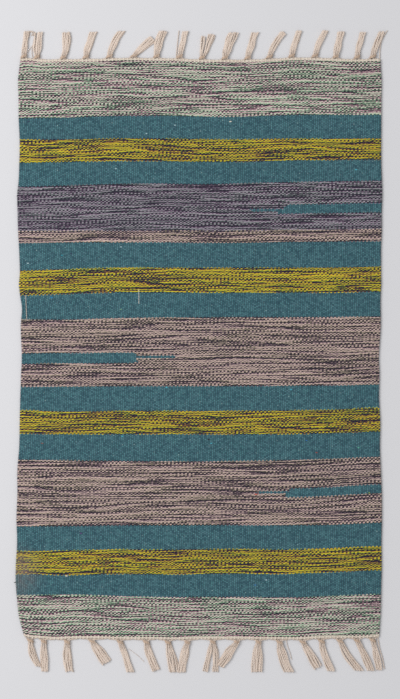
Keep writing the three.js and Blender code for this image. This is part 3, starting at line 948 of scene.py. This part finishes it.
def plied_yarn():
    """The tree that turns centre lines into plied yarns."""
    tree, given, out = named_tree("plied_yarn", "GeometryNodeTree", {
        "Centre Lines": "Geometry", "Step": "Float", "Ply Length": "Float", "Groove": "Float",
        "Cotton": "Material",
    }, {"Yarns": "Geometry"})
    lines = node(tree, "GeometryNodeResampleCurve", {
        "Curve": given["Centre Lines"], "Length": given["Step"]}, mode="LENGTH")
    run = node(tree, "GeometryNodeSplineParameter", out="Length")
    turns = node(tree, MATH, (run, given["Ply Length"]), operation="DIVIDE")
    turned = node(tree, MATH, (turns, 2 * math.pi), operation="MULTIPLY")
    lines = node(tree, "GeometryNodeSetCurveTilt", {"Curve": lines, "Tilt": turned})
    number = node(tree, "GeometryNodeInputIndex")
    tone = node(tree, "FunctionNodeRandomValue", {
        "ID": number, "Seed": TONE_SEED}, "Value", data_type="FLOAT")
    # The loops of a knot are its only closed lines
    tied = node(tree, "GeometryNodeInputSplineCyclic")
    for label, value in (("tone", tone), ("tied", tied)):
        lines = node(tree, "GeometryNodeStoreNamedAttribute", {
            "Geometry": lines, "Name": label, "Value": value}, data_type="FLOAT", domain="CURVE")
    ring = node(tree, "GeometryNodeCurvePrimitiveCircle", {
        "Resolution": PLY_RESOLUTION, "Radius": 1.0}, mode="RADIUS")
    place = node(tree, "GeometryNodeInputPosition")
    aside = node(tree, "ShaderNodeSeparateXYZ", (place,), "X")
    lobe = node(tree, MATH, (aside,), operation="ABSOLUTE")
    waist = node(tree, MATH, (1.0, lobe), operation="SUBTRACT")
    pinched = node(tree, MATH, (waist, given["Groove"]), operation="MULTIPLY")
    inward = node(tree, MATH, (1.0, pinched), operation="SUBTRACT")
    ring = node(tree, "GeometryNodeStoreNamedAttribute", {
        "Geometry": ring, "Name": "crown", "Value": lobe}, data_type="FLOAT", domain="POINT")
    spot = node(tree, "ShaderNodeVectorMath", {0: place, "Scale": inward}, operation="SCALE")
    ring = node(tree, "GeometryNodeSetPosition", {"Geometry": ring, "Position": spot})
    thick = node(tree, "GeometryNodeInputRadius")
    yarns = node(tree, "GeometryNodeCurveToMesh", {
        "Curve": lines, "Profile Curve": ring, "Scale": thick, "Fill Caps": True})
    yarns = node(tree, "GeometryNodeRealizeInstances", {"Geometry": yarns})
    yarns = node(tree, "GeometryNodeSetMaterial", {"Geometry": yarns, "Material": given["Cotton"]})
    tree.links.new(yarns, out["Yarns"])
    return tree


PLIED_YARN = plied_yarn()


PAINTED_GROOVE_SHADE = 0.45


def fringe_cotton():
    """Unbleached cotton yarn: a warm beige, with painted shade that makes it darker and browner in the
    grooves between its plies and on the loops of its knots."""
    material, tree = new_material("unbleached_cotton_yarn")
    tone, ply, tied = [
        node(tree, "ShaderNodeAttribute", out="Fac", attribute_name=label)
        for label in ("tone", "crown", "tied")
    ]
    # Painted shade: the grooves between the plies are mixed towards a darker, browner beige
    painted_groove_shade = node(tree, MATH, (ply, -PAINTED_GROOVE_SHADE, PAINTED_GROOVE_SHADE), operation="MULTIPLY_ADD")
    tint = colour("e0d0c2")
    # Painted shade: the knots' loops are mixed towards a darker brown for the shade inside the knot
    for share, other in ((tone, "e9dace"), (painted_groove_shade, "d4bfb0"), (tied, "cdb5a0")):
        tint = node(tree, MIX, {"Factor": share, "A": tint, "B": colour(other)}, **OF_COLOURS)
    finished_cotton(material, tint, 0.0)
    return material


FRINGE_COTTON = fringe_cotton()


def smooth_route(points, count):
    """A smooth route through a few points, evenly numbered from the first to the last."""
    points = np.array(points, float)
    at = np.arange(len(points))
    places = np.linspace(0, len(points) - 1, count)
    return np.stack([reading(at, points[:, k], places) for k in range(points.shape[1])], -1)


def tassel_routes(end, row, warps, rng):
    """The centre lines of one tassel's yarns and of the loops of its knot, with their radii."""
    out = 1 if end == "top" else -1
    base = strip_edge(end, row["root"])
    knot = np.array([row["root"], base + out * KNOT_OUT])
    tip = np.array([row["tip"], base + out * (row["reach"] + TIP_PAST)])
    ahead = (tip - knot) / np.linalg.norm(tip - knot)
    square = np.array([ahead[1], -ahead[0]]) * out
    level = np.array([1 / abs(ahead[1]), 0])
    across_tip = square if row["cut"] == "square" else level
    across_root = np.array([1.0, 0.0])
    count = len(warps)
    routes = []
    for i, warp in enumerate(warps):
        seat = 2 * (i + 0.5) / count - 1
        third, second = i % 3 / 2, i % 2
        longer = rng.uniform(*LONGER) - (row["lag"] if seat < 0 else 0)
        wander = rng.uniform(*WANDER)
        phase = rng.uniform(0, 2 * math.pi)
        waves = rng.uniform(*WAVES)
        shift = rng.uniform(*SHIFT)
        edge = strip_edge(end, warp)
        leaning = warp + LEANED * (row["root"] - warp)
        gathered = row["root"] + seat * BEFORE_HALF + BEFORE_ASIDE
        raised = BEFORE_KNOT[1] + BEFORE_KNOT[2] * third
        points = [
            (warp, edge + out * FROM_STRIP[0], FROM_STRIP[1], END_YARN),
            (leaning, edge + out * OVER_EDGE[0], OVER_EDGE[1], END_YARN),
            (gathered, knot[1] + out * BEFORE_KNOT[0], raised, END_YARN),
        ]
        for t in YARN_AT:
            spread = across_root * (1 - min(2 * t, 1)) + across_tip * min(2 * t, 1)
            opened = min(t / OPENS_BY, 1)
            half = ROOT_HALF + (row["fan"] - ROOT_HALF) * opened * opened * (3 - 2 * opened)
            side = (seat + shift * t) * half + math.copysign(row["split"] * t, seat)
            side += row["bow"] * 4 * t * (1 - t)
            side += wander * math.sin(phase + 2 * math.pi * waves * t) * min(4 * t, 1)
            spot = knot + (tip - knot) * t + spread * side + ahead * longer * t
            settle = min(3 * t, 1)
            high = (AT_KNOT[0] + AT_KNOT[1] * third) * (1 - settle)
            high += (ON_FLOOR[0] + ON_FLOOR[1] * second) * settle
            points.append((*spot, high, END_YARN + (TASSEL_YARN - END_YARN) * settle))
        routes.append((smooth_route(points, YARN_POINTS), False))
    angle = np.linspace(0, 2 * math.pi, LOOP_POINTS, endpoint=False)
    for turn in range(KNOT["turns"]):
        away = (turn - 1) * KNOT["pitch"] + KNOT["slant"] * np.cos(angle)
        ring = np.stack([
            knot[0] + ahead[0] * away + ROOT_HALF * np.cos(angle),
            knot[1] + ahead[1] * away,
            KNOT["level"] + KNOT["half_high"] * np.sin(angle),
            np.full(len(angle), KNOT["yarn"]),
        ], -1)
        routes.append((ring, True))
    return routes


def plied(name, routes, step, ply_length):
    """Plied yarns along centre lines, whose places and radii are in millimetres."""
    lines = bpy.data.curves.new(name, "CURVE")
    lines.dimensions = "3D"
    for route, closed in routes:
        spline = lines.splines.new("POLY")
        spline.points.add(len(route) - 1)
        place = np.stack([
            (route[:, 0] + SHIFT_X) * MM, (route[:, 1] + SHIFT_Y) * MM, route[:, 2] * MM,
            np.ones(len(route)),
        ], -1)
        spline.points.foreach_set("co", place.ravel())
        spline.points.foreach_set("radius", route[:, 3] * MM)
        spline.use_cyclic_u = closed
    return settled(placed(name, lines), PLIED_YARN, {
        "Step": step, "Ply Length": ply_length, "Groove": PLY_GROOVE, "Cotton": FRINGE_COTTON})


SEEDS = {"top": 11, "bottom": 12}
STRAY_POINTS = 24
STRAY_CLEAR = 0.3
TASSEL_STEP = 1.7 * MM
TASSEL_PLY = 9.0 * MM


def tassels(end):
    rng = np.random.default_rng(SEEDS[end])
    always = len(TASSEL_COLUMNS) - len(TASSEL_USUAL)
    rows = [dict(zip(TASSEL_COLUMNS, row + TASSEL_USUAL[len(row) - always:])) for row in TASSELS[end]]
    edge_y = HALF_LENGTH if end == "top" else -HALF_LENGTH
    left = float(left_selvedge(edge_y)) + SELVEDGE_YARN
    right = float(right_selvedge(edge_y)) - SELVEDGE_YARN
    warps = np.linspace(left, right, WARPS)
    nearest = np.argmin([np.abs(warps - row["root"]) for row in rows], axis=0)
    routes = []
    for number, row in enumerate(rows):
        routes += tassel_routes(end, row, warps[nearest == number], rng)
    out = 1 if end == "top" else -1
    for places, radius in STRAYS[end]:
        points = [
            (x, strip_edge(end, x) + out * (away + TIP_PAST), radius + STRAY_CLEAR, radius)
            for x, away in places
        ]
        routes.append((smooth_route(points, STRAY_POINTS), False))
    fringe = plied(f"tassels_{end}", routes, TASSEL_STEP, TASSEL_PLY)
    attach(fringe, "root")
    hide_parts(f"fringe_{end}")
    return fringe


fringes = {end: tassels(end) for end in ("top", "bottom")}


# Slubs and stubs: knots of stray coloured fibre that were spun or woven in, the cut ends of joined
# wefts at the selvedges, and a warp that shows between its beads for a short way.
# Places across and along the rug, lengths along the weft, and colours
SLUBS = [
    (-245.1, 85.5, 5, "1f7fb0"), (-55.0, -63.3, 3.6, "4fb0c4"), (150.9, -66.6, 3.6, "4fb0c4"),
    (-128.1, -144.0, 3.2, "4fb0c4"), (-196.5, -304.3, 4, "5b3f78"), (14.4, -149.3, 4.6, "1c1a22"),
    (19.0, -155.5, 3.4, "4fb0c4"), (176.4, -150.9, 3.6, "2f6fa6"), (262.3, -162.5, 3.6, "58a890"),
    (192.9, -170.8, 4, "8a4a44"), (92.9, -239.7, 5, "d0402f"), (280.0, -237.5, 2.4, "9ab34a"),
    (91.7, -389.9, 3.8, "2f6fa6"), (258.4, 297.0, 3.4, "4fb0c4"), (61.3, 195.4, 4.4, "c8b49c"),
    (-260.5, -155.5, 4.4, "7c4a40"), (50.7, 376.4, 4.2, "e0d8c8"), (-138.7, 298.7, 3.2, "a9c6cc"),
    (-88.1, 356.6, 3, "a9c6cc"), (-40.7, 370.3, 3, "a9c6cc"), (-130.3, 169.1, 3.2, "a9c6cc"),
    (-284.2, 142.2, 4, "a9c6cc"), (109.8, -381.5, 3.2, "a9c6cc"), (-220.3, -374.9, 4.4, "d6cfc4"),
    (-130.3, 65.8, 3.6, "6f9a80"), (-212.9, 157.9, 4.4, "26304e"), (-227.8, 155.2, 3.8, "2f8a9c"),
    (-283.2, 375.9, 4.2, "26304e"),
]
SELVEDGE_STUBS = [
    (-301.3, 253.2, 3.6, "2e2a36"), (-298.2, 286.5, 3.4, "d6d2cc"), (-305.3, -386, 4.6, "1f4a44"),
]
SLUB_SIZES = {"Wide": 1.7 * MM, "High": 0.9 * MM, "Fuzz": 0.7 * MM}
SLUB_LEVEL = 3.9
SLUB_ROUNDNESS = 3
FUZZ_SCALE = 900.0
# Where the bare warp's beads leave it open, every second pick
OPEN_WARP_X = -100.7
OPEN_WARP_Y = np.arange(76.5, 98, 2.62)
OPEN_WARP_GAP = 1.5


def slubs_on_places():
    """The tree that puts a small lump of fibre on each place, as long as the place says."""
    tree, given, out = named_tree("slubs_on_places", "GeometryNodeTree", {
        "Places": "Geometry", "Wide": "Float", "High": "Float", "Fuzz": "Float", "Cotton": "Material",
    }, {"Slubs": "Geometry"})
    long = node(tree, "GeometryNodeInputNamedAttribute", {"Name": "long"}, data_type="FLOAT")
    size = node(tree, "ShaderNodeCombineXYZ", (long, given["Wide"], given["High"]))
    lump = node(tree, "GeometryNodeMeshIcoSphere", {"Radius": 0.5, "Subdivisions": SLUB_ROUNDNESS})
    lumps = node(tree, "GeometryNodeInstanceOnPoints", {
        "Points": given["Places"], "Instance": lump, "Scale": size})
    lumps = node(tree, "GeometryNodeRealizeInstances", {"Geometry": lumps})
    luck = node(tree, "ShaderNodeTexNoise", {"Scale": FUZZ_SCALE, "Detail": 1.0}, "Color")
    swing = node(tree, "ShaderNodeVectorMath", (luck, (-0.5, -0.5, -0.5)), operation="ADD")
    move = node(tree, "ShaderNodeVectorMath", {0: swing, "Scale": given["Fuzz"]}, operation="SCALE")
    lumps = node(tree, "GeometryNodeSetPosition", {"Geometry": lumps, "Offset": move})
    lumps = node(tree, "GeometryNodeSetMaterial", {"Geometry": lumps, "Material": given["Cotton"]})
    tree.links.new(lumps, out["Slubs"])
    return tree


def slub_cotton():
    material, tree = new_material("coloured_cotton_slub")
    tint = node(tree, "ShaderNodeAttribute", out="Color", attribute_name="tint")
    finished_cotton(material, tint, 0.0)
    return material


def slubs():
    places = [(x, y, SLUB_LEVEL, long, tint) for x, y, long, tint in SLUBS]
    places += [(x, y, MIDDLE, long, tint) for x, y, long, tint in SELVEDGE_STUBS]
    places += [(OPEN_WARP_X, y, SLUB_LEVEL, OPEN_WARP_GAP, "dcd6cc") for y in OPEN_WARP_Y.tolist()]
    mesh = bpy.data.meshes.new("slubs")
    points = [((x + SHIFT_X) * MM, (y + SHIFT_Y) * MM, z * MM) for x, y, z, _, _ in places]
    mesh.from_pydata(points, [], [])
    noted(mesh, "long", "FLOAT", "POINT", [long * MM for _, _, _, long, _ in places])
    tints = [part for *_, tint in places for part in colour(tint)]
    noted(mesh, "tint", "FLOAT_COLOR", "POINT", tints)
    lumps = settled(placed("slubs", mesh), slubs_on_places(), {**SLUB_SIZES, "Cotton": slub_cotton()})
    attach(lumps, "root")


slubs()


# One warp near the left selvedge that its beads have slipped off: places and radii, out of the cloth
# at one end and into it again at the other
BARE_WARP = [
    (-287.8, 90, 2.6, 0.5), (-287.6, 86, 3.9, 0.5), (-287.2, 74, 4.0, 0.5),
    (-286.6, 62, 4.0, 0.5), (-286.1, 52, 3.9, 0.5), (-286.0, 48, 2.6, 0.5),
]
BARE_WARP_POINTS = 30
BARE_WARP_STEP = 1.0 * MM
BARE_WARP_PLY = 5.0 * MM


def bare_warp():
    route = smooth_route(BARE_WARP, BARE_WARP_POINTS)
    warp = plied("bare_warp", [(route, False)], BARE_WARP_STEP, BARE_WARP_PLY)
    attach(warp, "root")


bare_warp()


# Floor, light and camera: a pale seamless floor, one large soft light from the left and a bright
# room, seen from straight above as in the photograph.
FLOOR_HALF = 3.0
FLOOR_LEVEL = -0.2 * MM
PAPER_ROUGHNESS = 0.9
floor_mesh = bpy.data.meshes.new("floor")
floor_mesh.from_pydata([
    (x * FLOOR_HALF, y * FLOOR_HALF, FLOOR_LEVEL) for x, y in ((-1, -1), (1, -1), (1, 1), (-1, 1))
], [], [(0, 1, 2, 3)])
floor = placed("floor", floor_mesh)
paper, paper_tree = new_material("pale_floor_paper")
paper_skin = paper_tree.nodes["Principled BSDF"].inputs
paper_skin["Base Color"].default_value = colour("dadadd")
paper_skin["Roughness"].default_value = PAPER_ROUGHNESS
floor_mesh.materials.append(paper)

ROOM_LIGHT = 0.6
world = bpy.data.worlds.new("bright_room")
bpy.context.scene.world = world
world.use_nodes = True
room = world.node_tree.nodes["Background"].inputs
room["Color"].default_value = (1.0, 1.0, 1.0, 1.0)
room["Strength"].default_value = ROOM_LIGHT

SOFTBOX_SIDE = 1.6
SOFTBOX_WATTS = 60
SOFTBOX_AT = (-2.2, 0.5, 2.35)
softbox = bpy.data.lights.new("softbox", "AREA")
softbox.shape = "SQUARE"
softbox.size = SOFTBOX_SIDE
softbox.energy = SOFTBOX_WATTS
lamp = placed("softbox", softbox)
lamp.location = SOFTBOX_AT
lamp.rotation_euler = (-lamp.location).to_track_quat("-Z", "Y").to_euler()

# The camera looks at the top of the cloth, and its view is as high as the picture shows
LENS = 85
SENSOR = 36
VIEW_HEIGHT = 1.1554
VIEW_AT = (-0.00274, 0.00307)
CLOTH_TOP = 4 * MM
# How far a point of light spreads, in pixels: about as sharp as the photograph
FILTER_WIDTH = 1.8
view = bpy.data.cameras.new("overhead")
view.lens = LENS
view.sensor_width = SENSOR
camera = placed("overhead", view)
camera.location = (*VIEW_AT, VIEW_HEIGHT * LENS / SENSOR + CLOTH_TOP)
bpy.context.scene.camera = camera
bpy.context.scene.view_settings.view_transform = "Standard"
bpy.context.scene.cycles.use_denoising = False
bpy.context.scene.cycles.pixel_filter_type = "GAUSSIAN"
bpy.context.scene.cycles.filter_width = FILTER_WIDTH
